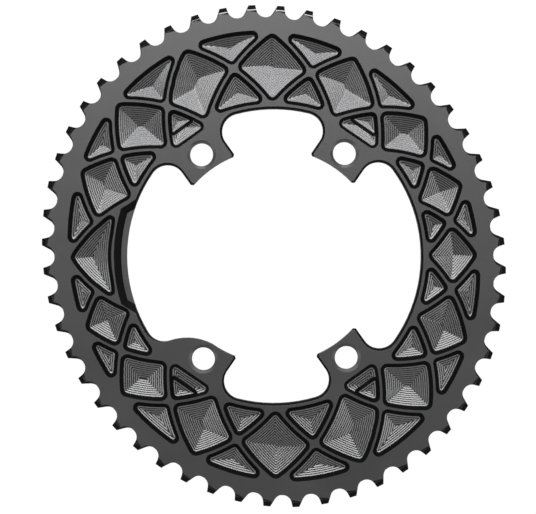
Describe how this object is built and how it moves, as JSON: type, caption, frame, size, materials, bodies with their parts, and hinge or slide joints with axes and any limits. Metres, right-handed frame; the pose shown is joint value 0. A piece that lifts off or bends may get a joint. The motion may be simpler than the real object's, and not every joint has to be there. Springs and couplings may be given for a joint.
{
  "type": "bicycle chainring",
  "caption": "Oval outer bicycle chainring with a bevelled toothed rim, a lattice of milled pockets, mounting ears for a spider and shift pins on its back.",
  "frame": {"origin": "centre of the bolt circle, in the plane of the flat back face", "axes": "+Z along the crank axle, towards the outboard face that shows; +X to the right and +Y up as seen from that side"},
  "size_m": [0.2046, 0.2218, 0.0044],
  "materials": {
    "anodised_aluminium": "satin",
    "steel": "satin"
  },
  "bodies": {
    "root": {"chainring": "anodised_aluminium", "shift_pin_1": "steel", "shift_pin_2": "steel", "shift_pin_3": "steel", "shift_pin_4": "steel"}
  },
  "joints": []
}
